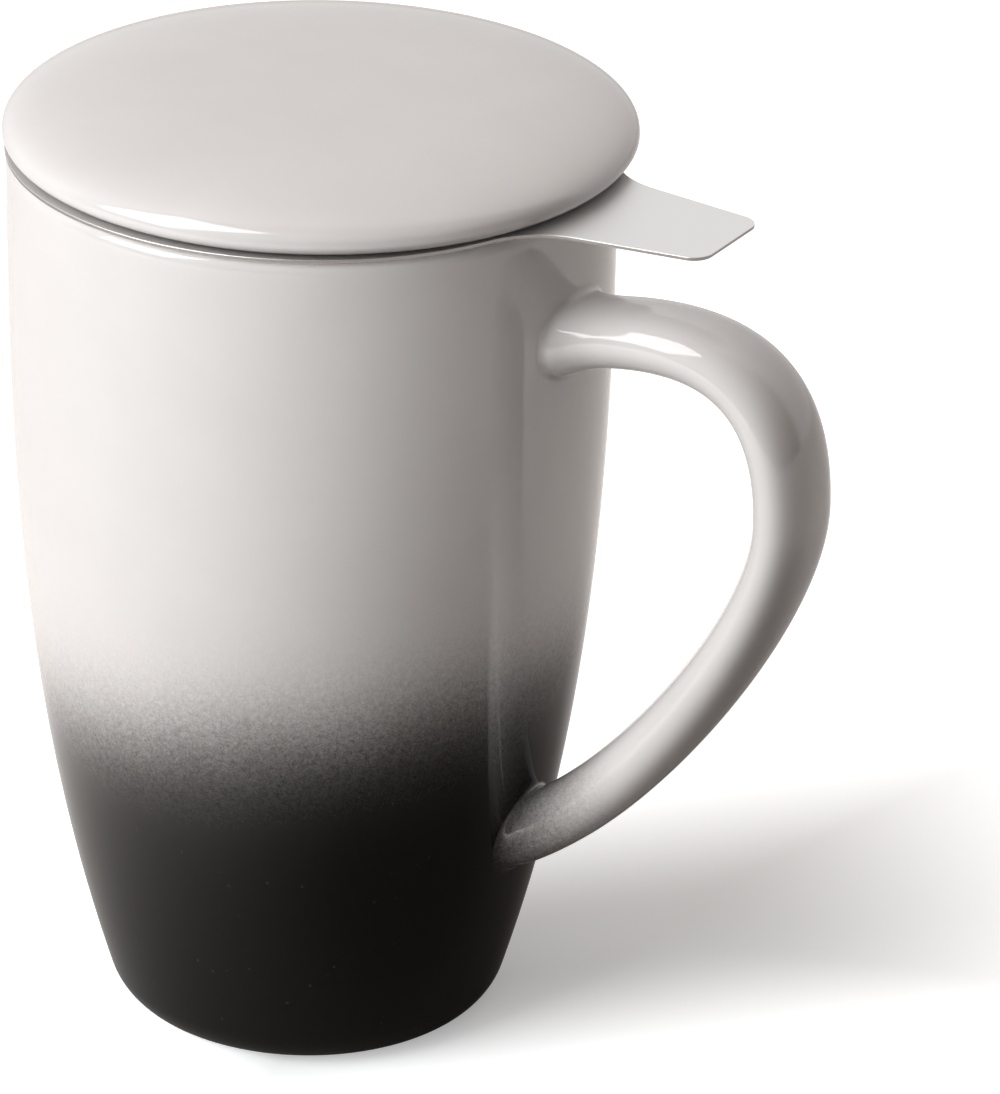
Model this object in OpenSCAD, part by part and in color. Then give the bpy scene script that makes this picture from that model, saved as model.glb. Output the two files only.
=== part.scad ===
// Tall porcelain tea mug with a lift-out steel infuser and a loose lid.
// Millimetres, +Z up. The origin is the middle of the foot, on the table, and +X runs out through the handle.

/* [Mug] */
// Outside diameter of the mug at its rim
rim_d = 86; // [78:1:96]
// Height of the rim above the table
mug_h = 132.5; // [124:0.5:145]
// How far the wall draws in from the rim to the table, on the radius
wall_taper = 16; // [12:0.5:18]
// How late the wall draws in: a higher power keeps it upright for longer
wall_power = 2.75; // [2.2:0.05:3.4]
// Thickness of the wall
wall_t = 4; // [3:0.25:5]
// Thickness of the floor
floor_t = 6; // [4:0.5:9]
// Height of the rounded heel
heel_h = 6; // [4:0.5:8]
// Height of the rounding between floor and wall inside
bowl_h = 8; // [4:0.5:12]
// Rounding of the rim's outer edge
rim_round = 2.2; // [1:0.1:2.4]
// Width of the flat on the rim, where the infuser's flange lies
rim_flat = 0.8; // [0.5:0.1:1.2]
// Width of the foot ring
foot_w = 4; // [3:0.5:7]
// Depth of the recess inside the foot ring
foot_recess = 2; // [1:0.25:3]

/* [Handle] */
// Height of the rim above the middle of the upper joint
handle_drop = 18.75; // [17:0.25:26]
// Height of the middle of the lower joint above the table
handle_low = 35; // [28:0.5:44]
// How far the middle of the strap stands out from the rim
handle_out = 34.5; // [28:0.5:42]
// Height of the rim above the place where the strap stands out most
handle_peak = 38.5; // [34:0.5:48]
// Angle at which the strap climbs away from the upper joint
handle_climb = 14; // [0:1:22]
// Angle at which the strap climbs away from the lower joint
handle_lift = 25; // [12:1:36]
// Pull of the curve at the upper joint
pull_top = 17.5; // [14:0.5:24]
// Pull of the curve above the place where the strap stands out most
pull_over = 24.5; // [18:0.5:28]
// Pull of the curve below the place where the strap stands out most
pull_under = 17; // [12:0.5:24]
// Pull of the curve at the lower joint
pull_low = 17; // [14:0.5:26]
// Width of the strap at the upper joint
strap_w_top = 14; // [10:0.5:17]
// Width of the strap where it stands out most
strap_w_mid = 16; // [11:0.5:18]
// Width of the strap at the lower joint
strap_w_low = 11.5; // [9:0.5:15]
// Thickness of the strap at its two joints
strap_t_ends = 9.2; // [7:0.1:11]
// Thickness of the strap where it stands out most
strap_t_mid = 8.2; // [6.5:0.1:10]
// Squareness of the strap's section: 2 is an ellipse
strap_square = 2.2; // [2:0.1:3.6]
// How far the strap swells on each side at the upper joint
flare_top = 1.6; // [0.6:0.2:3]
// How far the strap swells on each side at the lower joint
flare_low = 0.8; // [0.4:0.2:2]
// How far out from the wall the swelling reaches
flare_reach = 6.5; // [5:0.5:10]
// Share of that swelling above and below the strap
flare_flat = 0.5; // [0.3:0.1:1]

/* [Infuser] */
// Thickness of the steel sheet
sheet_t = 0.5; // [0.4:0.05:0.8]
// How far the flange stands out past the mug's rim
flange_lip = 0.25; // [0:0.25:1.5]
// Radius of the bend between flange and collar, on its hidden side
bend_r = 1.5; // [0.5:0.25:2.5]
// Height of the plain collar, from the mug's rim down
collar_h = 10; // [6:0.5:16]
// Depth of the basket, from the mug's rim down
basket_depth = 78.5; // [60:0.5:94]
// Gap between the basket's lower edge and the mug's wall
basket_gap = 2.4; // [1:0.1:5]
// How far the seam round the basket's floor stands out from its wall
seam_w = 0.8; // [0.4:0.1:1.2]
// Height of that seam
seam_h = 1.6; // [1:0.1:2.4]
// Diameter of a drain hole
hole_d = 2.2; // [1.4:0.1:3]
// Distance from one drain hole to the next
hole_pitch = 7; // [6:0.5:10]
// Plain margin at the edges of the drained areas
hole_margin = 5; // [3:0.5:8]
// How far the grip tab stands out from the flange
tab_len = 24; // [16:0.5:32]
// Width of the tab at its end
tab_w_end = 16.5; // [12:0.5:22]
// Width of the tab where it leaves the flange
tab_w_root = 23; // [16:0.5:28]
// Radius of the tab's two corners
tab_corner = 3; // [1:0.5:6]
// Angle along the flange over which each side of the tab fairs in, at the middle of the mug
tab_fair = 9; // [6:1:18]
// Turn of the infuser away from the handle
infuser_turn = -0.5; // [-180:0.5:180]

/* [Lid] */
// How far the lid stands out past the mug's rim
lid_lip = 1.75; // [1:0.05:4]
// Height of the lid's rounded edge
lid_edge_h = 7.6; // [6:0.2:9]
// Width of that rounded edge, seen from above
lid_edge_w = 25; // [12:1:36]
// Rise of the lid's crown above that edge
lid_crown = 0.2; // [0.2:0.2:3]
// Squareness of the lid's edge: 2 is an ellipse
lid_square = 2; // [1.8:0.1:3]
// Height of the small rounding under the lid's edge
lid_under_h = 1.8; // [1:0.1:3]
// Width of that rounding
lid_under_w = 3.8; // [2:0.2:6]
// Thickness of the lid in its middle
lid_t = 5.5; // [4:0.25:6]
// How far the locating ring reaches down into the basket
ring_h = 4.5; // [4:0.5:9]
// Width of the locating ring
ring_w = 3.4; // [2.6:0.2:5]
// Rounding of the ring's lower edges
ring_round = 1; // [0.5:0.1:1.2]
// Sideways play of the ring in the basket
lid_play = 1.9; // [0.8:0.05:3]
// Gap that is left on the side to which the lid has slid
lid_gap = 0.3; // [0.3:0.05:0.6]
// Side to which the lid has slid, counted from the handle
lid_side = 74; // [-180:1:180]
// Clearance between the lid's seat and the flange that it lies on
seat_gap = 0.02; // [0.02:0.02:0.2]

/* [Hidden] */
$fn = 96;
glaze_pale = [0.86, 0.85, 0.84];
steel = [0.75, 0.75, 0.76];

// Number of short stretches in each drawn curve
wall_steps = 26;
arc_steps = 8;
edge_steps = 20;
crown_steps = 6;
strap_steps = 24;
strap_sides = 24;
fair_steps = 8;

// Plain geometry
function on_arc(middle, radius, from, to, steps) =
    [for (i = [0:steps]) let (a = from + (to - from) * i / steps) middle + radius * [cos(a), sin(a)]];
function backwards(list) = [for (i = [len(list) - 1:-1:0]) list[i]];
function signed_power(value, power) = sign(value) * pow(abs(value), power);
function bezier(p, t) =
    pow(1 - t, 3) * p[0] + 3 * pow(1 - t, 2) * t * p[1] + 3 * (1 - t) * t * t * p[2] + pow(t, 3) * p[3];
function bezier_way(p, t) =
    pow(1 - t, 2) * (p[1] - p[0]) + 2 * (1 - t) * t * (p[2] - p[1]) + t * t * (p[3] - p[2]);

// Outline of the mug
rim_r = rim_d / 2;
bowl_floor = foot_recess + floor_t;
recess_draft = foot_recess / 2;
function wall_r(z) = rim_r - wall_taper * pow(1 - z / mug_h, wall_power);
function wall_lean(z) = wall_taper * wall_power / mug_h * pow(1 - z / mug_h, wall_power - 1);
// A rounding that runs from a level floor up into the leaning wall, touching both
function heel_angle(top) = -atan(wall_lean(top));
function heel_radius(height, top) = height / (1 + sin(heel_angle(top)));
function heel_middle(height, top, inset) =
    [wall_r(top) - inset - heel_radius(height, top) * cos(heel_angle(top)),
     top - height + heel_radius(height, top)];
function heel(height, top, inset) =
    on_arc(heel_middle(height, top, inset), heel_radius(height, top), -90, heel_angle(top), arc_steps);
// Points up the wall, without its first and last
function wall_points(from, to, inset) =
    [for (i = [1:wall_steps - 1]) let (z = from + (to - from) * i / wall_steps) [wall_r(z) - inset, z]];

// The outer rounding takes what the flat leaves of the wall, up to this share, and the inner one has the rest
rim_outer_share = 0.7;
rim_outer = min(rim_round, rim_outer_share * (wall_t - rim_flat));
rim_inner = wall_t - rim_flat - rim_outer;
bowl_top = bowl_floor + bowl_h;
foot_r = heel_middle(heel_h, heel_h, 0)[0];
mug_outside = concat(
    heel(heel_h, heel_h, 0),
    wall_points(heel_h, mug_h - rim_outer, 0),
    on_arc([rim_r - rim_outer, mug_h - rim_outer], rim_outer, 0, 90, arc_steps));
mug_inside = concat(
    heel(bowl_h, bowl_top, wall_t),
    wall_points(bowl_top, mug_h - rim_inner, wall_t),
    on_arc([rim_r - wall_t + rim_inner, mug_h - rim_inner], rim_inner, 180, 90, arc_steps));
mug_recess = [[foot_r - foot_w, 0], [foot_r - foot_w - recess_draft, foot_recess], [0, foot_recess]];

// Middle line of the handle, in the plane of X and Z, as two curves that meet where it stands out most
handle_top_z = mug_h - handle_drop;
top_foot = [wall_r(handle_top_z), handle_top_z];
low_foot = [wall_r(handle_low), handle_low];
top_way = [cos(handle_climb), sin(handle_climb)];
low_way = [cos(handle_lift), sin(handle_lift)];
strap_peak = [rim_r + handle_out, mug_h - handle_peak];
upper_curve = [top_foot, top_foot + pull_top * top_way, strap_peak + [0, pull_over], strap_peak];
lower_curve = [strap_peak, strap_peak - [0, pull_under], low_foot + pull_low * low_way, low_foot];
// The ends run on into the wall, so that the whole joint is cut to the wall's own curve
root_sink = strap_t_ends;
strap_middle = concat(
    [top_foot - root_sink * top_way],
    [for (i = [0:strap_steps]) bezier(upper_curve, i / strap_steps)],
    [for (i = [1:strap_steps]) bezier(lower_curve, i / strap_steps)],
    [low_foot - root_sink * low_way]);
strap_ways = concat(
    [top_way],
    [for (i = [0:strap_steps]) bezier_way(upper_curve, i / strap_steps)],
    [for (i = [1:strap_steps]) bezier_way(lower_curve, i / strap_steps)],
    [-low_way]);
strap_rings = len(strap_middle);
strap_peak_ring = strap_steps + 1;

// Section of the strap at each ring
function along(ring, top, mid, low) =
    lookup(ring, [[1, top], [strap_peak_ring, mid], [strap_rings - 2, low]]);
function off_wall(point) = max(0, point[0] - wall_r(point[1]));
function flare(ring) =
    (ring < strap_peak_ring ? flare_top : flare_low)
    * pow(max(0, 1 - off_wall(strap_middle[ring]) / flare_reach), 2);
function strap_ring(ring) =
    let (way = strap_ways[ring] / norm(strap_ways[ring]),
         half_t = along(ring, strap_t_ends, strap_t_mid, strap_t_ends) / 2 + flare_flat * flare(ring),
         half_w = along(ring, strap_w_top, strap_w_mid, strap_w_low) / 2 + flare(ring))
    [for (k = [0:strap_sides - 1])
        let (a = 360 * k / strap_sides,
             across = half_t * signed_power(cos(a), 2 / strap_square),
             aside = half_w * signed_power(sin(a), 2 / strap_square))
        [strap_middle[ring][0] - way[1] * across, aside, strap_middle[ring][1] + way[0] * across]];
strap_points = [for (ring = [0:strap_rings - 1]) each strap_ring(ring)];
function corner(ring, k) = ring * strap_sides + k % strap_sides;
strap_faces = concat(
    [[for (k = [0:strap_sides - 1]) k]],
    [for (ring = [0:strap_rings - 2], k = [0:strap_sides - 1])
        each [[corner(ring, k), corner(ring + 1, k), corner(ring, k + 1)],
              [corner(ring, k + 1), corner(ring + 1, k), corner(ring + 1, k + 1)]]],
    [[for (k = [strap_sides - 1:-1:0]) corner(strap_rings - 1, k)]]);

// Infuser
flange_r = rim_r + flange_lip;
seat_z = mug_h + sheet_t;
basket_floor = mug_h - basket_depth;
basket_r = wall_r(basket_floor) - wall_t - basket_gap - seam_w;
basket_in_r = basket_r - sheet_t;
collar_z = mug_h - collar_h;
bend_middle = [basket_r + bend_r, mug_h - bend_r];
row_pitch = hole_pitch * sin(60);
hole_rows = floor((collar_z - basket_floor - 2 * hole_margin) / row_pitch) + 1;
hole_columns = floor(2 * PI * basket_r / hole_pitch);
first_row = (collar_z + basket_floor - (hole_rows - 1) * row_pitch) / 2;
floor_rings = floor((basket_in_r - hole_margin) / hole_pitch);

// One side of the tab, from the flange's edge out to the corner; the fairing touches flange and side alike
tab_end = flange_r + tab_len;
tab_start_r = rim_r - wall_t / 2;
side_root = [flange_r, tab_w_root / 2];
side_way = [tab_end, tab_w_end / 2] - side_root;
tab_slant = atan(-side_way[1] / side_way[0]);
fair_angle = asin(tab_w_root / 2 / flange_r) + tab_fair;
fair_start = flange_r * [cos(fair_angle), sin(fair_angle)];
fair_way = [sin(fair_angle), -cos(fair_angle)];
// Where the flange's tangent crosses the line of the tab's side
fair_run = ((side_root - fair_start) * [side_way[1], -side_way[0]]) / (fair_way * [side_way[1], -side_way[0]]);
fair_corner = fair_start + fair_run * fair_way;
fair_end = fair_corner + abs(fair_run) * side_way / norm(side_way);
function fairing(t) = pow(1 - t, 2) * fair_start + 2 * t * (1 - t) * fair_corner + t * t * fair_end;
corner_middle = [tab_end - tab_corner,
                 tab_w_end / 2 + tab_corner * tan(tab_slant) - tab_corner / cos(tab_slant)];
tab_side = concat(
    [for (i = [0:fair_steps]) fairing(i / fair_steps)],
    on_arc(corner_middle, tab_corner, 90 - tab_slant, 0, arc_steps));
function mirrored(list) = [for (p = list) [p[0], -p[1]]];

// Lid, drawn with its seat at zero height
lid_r = rim_r + lid_lip;
lid_top = lid_edge_h + lid_crown;
lid_shift = lid_play - lid_gap;
ring_out = basket_in_r - lid_play;
ring_in = ring_out - ring_w;
lid_recess = lid_top - lid_t;
function lid_edge(a) =
    let (r = lid_r - lid_edge_w * (1 - pow(cos(a), 2 / lid_square)))
    [r, lid_under_h + (lid_edge_h - lid_under_h) * pow(sin(a), 2 / lid_square)
        + lid_crown * (1 - pow(r / lid_r, 2))];
lid_outline = concat(
    [[0, lid_recess], [ring_in, lid_recess]],
    on_arc([ring_in + ring_round, ring_round - ring_h], ring_round, 180, 270, arc_steps),
    on_arc([ring_out - ring_round, ring_round - ring_h], ring_round, 270, 360, arc_steps),
    [[ring_out, 0]],
    [for (i = [0:arc_steps - 1]) let (a = 90 * i / arc_steps)
        [lid_r - lid_under_w + lid_under_w * sin(a), lid_under_h - lid_under_h * cos(a)]],
    [for (i = [0:edge_steps - 1]) lid_edge(90 * i / edge_steps)],
    [for (i = [0:crown_steps]) let (r = (lid_r - lid_edge_w) * (1 - i / crown_steps))
        [r, lid_edge_h + lid_crown * (1 - pow(r / lid_r, 2))]]);

module mug_solid() {
    rotate_extrude() polygon(concat([[0, 0]], mug_outside, [[0, mug_h]]));
}

module mug_body() {
    color(glaze_pale)
        rotate_extrude() polygon(concat(backwards(mug_recess), mug_outside, backwards(mug_inside), [[0, bowl_floor]]));
}

module handle() {
    color(glaze_pale) difference() {
        polyhedron(strap_points, strap_faces, convexity = 6);
        mug_solid();
    }
}

module infuser_flange() {
    color(steel) rotate(infuser_turn) {
        rotate_extrude() polygon(concat(
            [[flange_r, mug_h], [flange_r, seat_z]],
            on_arc(bend_middle, bend_r + sheet_t, 90, 180, arc_steps),
            [[basket_in_r, collar_z], [basket_r, collar_z]],
            on_arc(bend_middle, bend_r, 180, 90, arc_steps)));
        translate([0, 0, mug_h]) linear_extrude(sheet_t) difference() {
            polygon(concat(backwards(mirrored(tab_side)), tab_side));
            circle(r = tab_start_r);
        }
    }
}

module infuser_wall() {
    color(steel) rotate(infuser_turn) difference() {
        translate([0, 0, basket_floor]) cylinder(r = basket_r, h = collar_z - basket_floor);
        translate([0, 0, basket_floor - sheet_t])
            cylinder(r = basket_in_r, h = collar_z - basket_floor + 2 * sheet_t);
        for (row = [0:hole_rows - 1], column = [0:hole_columns - 1])
            rotate((column + row % 2 / 2) * 360 / hole_columns)
                translate([basket_in_r - sheet_t, 0, first_row + row * row_pitch])
                    rotate([0, 90, 0]) cylinder(d = hole_d, h = 3 * sheet_t);
    }
}

module infuser_floor() {
    color(steel) rotate(infuser_turn) difference() {
        rotate_extrude() polygon(concat(
            [[0, basket_floor - sheet_t], [basket_in_r - seam_h, basket_floor - sheet_t]],
            [[basket_in_r - sheet_t, basket_floor - seam_h]],
            [for (i = [0:arc_steps]) let (a = 90 * i / arc_steps)
                [basket_r + seam_w * sin(a), basket_floor - seam_h * cos(a)]],
            [[0, basket_floor]]));
        for (ring = [0:floor_rings], k = [0:max(0, 6 * ring - 1)])
            rotate(ring == 0 ? 0 : 60 * k / ring)
                translate([ring * hole_pitch, 0, basket_floor - 2 * sheet_t])
                    cylinder(d = hole_d, h = 3 * sheet_t);
    }
}

module lid() {
    color(glaze_pale)
        translate(lid_shift * [cos(lid_side), sin(lid_side), 0] + [0, 0, seat_z + seat_gap])
            rotate_extrude() polygon(lid_outline);
}

mug_body();
handle();
infuser_flange();
infuser_wall();
infuser_floor();
lid();
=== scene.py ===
"""Dresses a tall porcelain tea mug, its steel infuser and its lid, and sets them on a plain studio table."""

import math

import bmesh
import bpy
from bpy.props import FloatProperty, FloatVectorProperty, PointerProperty
from bpy.types import NodeSocket, Operator, Panel, PropertyGroup
from mathutils import Matrix, Vector
from mathutils.geometry import delaunay_2d_cdt


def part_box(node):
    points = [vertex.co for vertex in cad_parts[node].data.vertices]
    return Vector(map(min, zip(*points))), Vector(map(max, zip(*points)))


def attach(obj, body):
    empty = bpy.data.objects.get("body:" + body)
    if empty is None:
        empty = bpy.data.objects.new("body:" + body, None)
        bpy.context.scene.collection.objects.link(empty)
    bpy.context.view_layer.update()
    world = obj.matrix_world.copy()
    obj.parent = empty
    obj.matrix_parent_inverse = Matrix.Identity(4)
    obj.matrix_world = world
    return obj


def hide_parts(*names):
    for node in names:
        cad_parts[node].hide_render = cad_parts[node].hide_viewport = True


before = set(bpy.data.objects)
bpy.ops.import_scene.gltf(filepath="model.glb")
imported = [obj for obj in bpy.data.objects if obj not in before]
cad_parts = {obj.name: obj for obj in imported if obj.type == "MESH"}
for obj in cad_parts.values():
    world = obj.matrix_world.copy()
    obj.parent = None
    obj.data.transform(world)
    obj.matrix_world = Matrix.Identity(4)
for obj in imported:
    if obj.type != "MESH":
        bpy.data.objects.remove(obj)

bl_info = {
    "name": "Tea Mug with Infuser",
    "version": (1, 0, 0),
    "blender": (4, 5, 0),
    "location": "3D View > Sidebar > Tea Mug",
    "description": "Builds a glazed tea mug with its handle, steel infuser and lid, on a studio table",
    "category": "Object",
}

MM = 0.001
FILM_MM = 36
LATHE_STEPS = 192
HEX_ROW = math.sin(math.radians(60))
UP = Vector((0, 0, 1))
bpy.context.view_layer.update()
MUG_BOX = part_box("mug_body")
FLANGE_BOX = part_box("infuser_flange")
WALL_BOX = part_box("infuser_wall")
FLOOR_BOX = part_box("infuser_floor")
LID_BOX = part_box("lid")


# Properties

def length(name, description, default):
    """A size in metres, shown in the scene's units."""
    return FloatProperty(name=name, description=description, default=default, unit="LENGTH", precision=5)


def angle(name, description, degrees):
    """An angle, written here in degrees."""
    return FloatProperty(name=name, description=description, default=math.radians(degrees), subtype="ANGLE")


def power(name, description, default):
    """A lamp's power in watts."""
    return FloatProperty(name=name, description=description, default=default, unit="POWER")


def share(name, description, default):
    """A number from 0 to 1."""
    return FloatProperty(name=name, description=description, default=default, min=0, max=1, subtype="FACTOR")


def number(name, description, default):
    """A plain number."""
    return FloatProperty(name=name, description=description, default=default)


def colour(name, description, default):
    """A linear colour."""
    return FloatVectorProperty(name=name, description=description, default=default, size=3, min=0, max=1,
                               subtype="COLOR")


class MugSizes(PropertyGroup):
    """Sizes of the porcelain mug"""
    rim_r: length("Rim radius", "Outside radius of the rim", MUG_BOX[1].x)
    height: length("Height", "Height of the rim above the table", MUG_BOX[1].z)
    wall_taper: length("Taper", "How far the wall draws in from the rim to the table", 16 * MM)
    wall_power: number("Late taper", "How late the wall draws in; more keeps it upright for longer", 2.75)
    wall_t: length("Wall", "Thickness of the wall", 4 * MM)
    floor_t: length("Floor", "Thickness of the floor", 6 * MM)
    heel_h: length("Heel", "Height of the rounded heel", 6 * MM)
    bowl_h: length("Bowl", "Height of the rounding between floor and wall inside", 8 * MM)
    rim_round: length("Rim rounding", "Rounding of the rim's outer edge", 2.2 * MM)
    rim_flat: length("Rim flat", "Width of the flat on the rim that carries the infuser", 0.8 * MM)
    foot_w: length("Foot ring", "Width of the foot ring", 4 * MM)
    foot_recess: length("Foot recess", "Depth of the recess inside the foot ring", 2 * MM)
    foot_round: length("Foot rounding", "Rounding of the foot ring's inner edge", 0.5 * MM)
    bare_h: length("Bare clay", "Height of the unglazed clay above the table", 0.35 * MM)


class HandleSizes(PropertyGroup):
    """Sizes of the handle's strap and its two joints"""
    drop: length("Upper joint", "Height of the rim above the middle of the upper joint", 18.75 * MM)
    low: length("Lower joint", "Height of the middle of the lower joint above the table", 35 * MM)
    out: length("Reach", "How far the middle of the strap stands out from the rim", 34.5 * MM)
    peak: length("Peak", "Height of the rim above the place where the strap stands out most", 38.5 * MM)
    climb: angle("Climb", "Angle at which the strap climbs away from the upper joint", 14)
    lift: angle("Lift", "Angle at which the strap climbs away from the lower joint", 25)
    pull_top: length("Top pull", "Pull of the curve at the upper joint", 17.5 * MM)
    pull_over: length("Upper pull", "Pull of the curve above the peak", 24.5 * MM)
    pull_under: length("Lower pull", "Pull of the curve below the peak", 17 * MM)
    pull_low: length("Low pull", "Pull of the curve at the lower joint", 17 * MM)
    width_top: length("Top width", "Width of the strap at the upper joint", 14 * MM)
    width_mid: length("Middle width", "Width of the strap at the peak", 16 * MM)
    width_low: length("Low width", "Width of the strap at the lower joint", 11.5 * MM)
    thick_ends: length("End thickness", "Thickness of the strap at its joints", 9.2 * MM)
    thick_mid: length("Middle thickness", "Thickness of the strap at the peak", 8.2 * MM)
    square: number("Squareness", "Squareness of the strap's section; 2 is an ellipse", 2.2)
    flare_top: length("Top flare", "How far the strap swells at the upper joint", 1.6 * MM)
    flare_low: length("Low flare", "How far the strap swells at the lower joint", 0.8 * MM)
    flare_reach: length("Flare reach", "How far out from the wall the swelling reaches", 6.5 * MM)
    flare_flat: share("Flare share", "Share of the swelling above and below the strap", 0.5)
    fillet_top: length("Top fillet", "Concave rounding of the luted upper joint", 1.3 * MM)
    fillet_low: length("Low fillet", "Concave rounding of the luted lower joint", 1.1 * MM)


class InfuserSizes(PropertyGroup):
    """Sizes of the steel infuser"""
    flange_r: length("Flange radius", "Outside radius of the flange", -FLANGE_BOX[0].x)
    seat_z: length("Seat", "Height of the flange's upper face", FLANGE_BOX[1].z)
    sheet_t: length("Sheet", "Thickness of the steel sheet", FLANGE_BOX[1].z - MUG_BOX[1].z)
    basket_r: length("Basket radius", "Outside radius of the basket's wall", WALL_BOX[1].x)
    collar_z: length("Collar", "Height of the collar's lower edge", WALL_BOX[1].z)
    basket_floor: length("Basket floor", "Height of the basket's floor", WALL_BOX[0].z)
    bend_r: length("Bend", "Radius of the bend on its hidden side", 1.5 * MM)
    edge_round: length("Edge", "Rounding of the sheet's cut edges", 0.05 * MM)
    tab_len: length("Tab length", "How far the tab stands out from the flange", 24 * MM)
    tab_w_end: length("Tab end", "Width of the tab at its end", 16.5 * MM)
    tab_w_root: length("Tab root", "Width of the tab where it leaves the flange", 23 * MM)
    tab_corner: length("Tab corner", "Radius of the tab's two corners", 3 * MM)
    tab_fair: angle("Tab fairing", "Angle along the flange over which each side of the tab fairs in", 9)
    turn: angle("Turn", "Turn of the infuser away from the handle", -0.5)
    hole_d: length("Hole", "Diameter of a drain hole", 1.5 * MM)
    hole_pitch: length("Pitch", "Distance from one drain hole to the next", 3.1 * MM)
    hole_margin: length("Margin", "Plain margin at the edges of the drained areas", 4 * MM)
    seam_w: length("Seam width", "How far the floor's seam stands out from the wall",
                   FLOOR_BOX[1].x - WALL_BOX[1].x)
    seam_h: length("Seam height", "Height of the floor's seam", WALL_BOX[0].z - FLOOR_BOX[0].z)


class LidSizes(PropertyGroup):
    """Sizes of the lid"""
    radius: length("Radius", "Outside radius of the lid", (LID_BOX[1].x - LID_BOX[0].x) / 2)
    edge_h: length("Edge", "Height of the lid's rounded edge", 6.4 * MM)
    edge_w: length("Edge width", "Width of that rounded edge, seen from above", 25 * MM)
    top_h: length("Top", "Height of the lid's crown above its seat", LID_BOX[1].z - FLANGE_BOX[1].z)
    square: number("Squareness", "Squareness of the lid's edge; 2 is an ellipse", 2.6)
    under_h: length("Under height", "Height of the small rounding under the edge", 1.8 * MM)
    under_w: length("Under width", "Width of that rounding", 3.8 * MM)
    middle_t: length("Thickness", "Thickness of the lid in its middle", 5.5 * MM)
    ring_h: length("Ring", "How far the locating ring reaches down", FLANGE_BOX[1].z - LID_BOX[0].z)
    ring_out: length("Ring radius", "Outside radius of the locating ring", WALL_BOX[1].x - 2.4 * MM)
    ring_w: length("Ring width", "Width of the locating ring", 3.4 * MM)
    ring_round: length("Ring rounding", "Rounding of the ring's lower edges", 1 * MM)


class GlazeLook(PropertyGroup):
    """Colours and spray of the glaze"""
    pale: colour("Pale glaze", "Glaze of the upper mug, the handle and the lid", (0.8, 0.782, 0.776))
    black: colour("Black glaze", "Glaze sprayed over the lower mug", (0.006, 0.0056, 0.0054))
    grain: colour("Grain", "Brown tint of the thin spray in between", (0.20, 0.175, 0.155))
    clay: colour("Clay", "Unglazed foot", (0.50, 0.45, 0.40))
    line_z: length("Spray height", "Height of the middle of the spray's edge", 56.4 * MM)
    fade: length("Spray fade", "Distance from that height at which an eighth is left to fade", 7.4 * MM)
    slope: number("Spray slope", "How steeply the spray's edge climbs towards the handle", 0.19)
    slope_side: angle("Slope side", "Side to which the spray's edge climbs, counted from the handle", -14)
    grain_depth: share("Grain depth", "How strongly the spray's grain shows where it fades", 0.4)
    root_fade: length("Root spray", "How far the spray reaches out along the handle", 25 * MM)
    root_depth: length("Root depth", "How far inside the wall the spray on the handle would be full", 6 * MM)


class SteelLook(PropertyGroup):
    """Colours of the steel"""
    flange: colour("Flange", "Polished steel of flange and tab", (0.54, 0.522, 0.495))
    # The cut edge is partly painted shade: its colour is darker than the sheet's so that the flange's edge
    # reads as the dark line under the lid.
    cut: colour("Cut edge", "Dull cut edge of flange and tab", (0.30, 0.29, 0.28))
    basket: colour("Basket", "Satin steel of the basket", (0.62, 0.61, 0.60))


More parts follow.
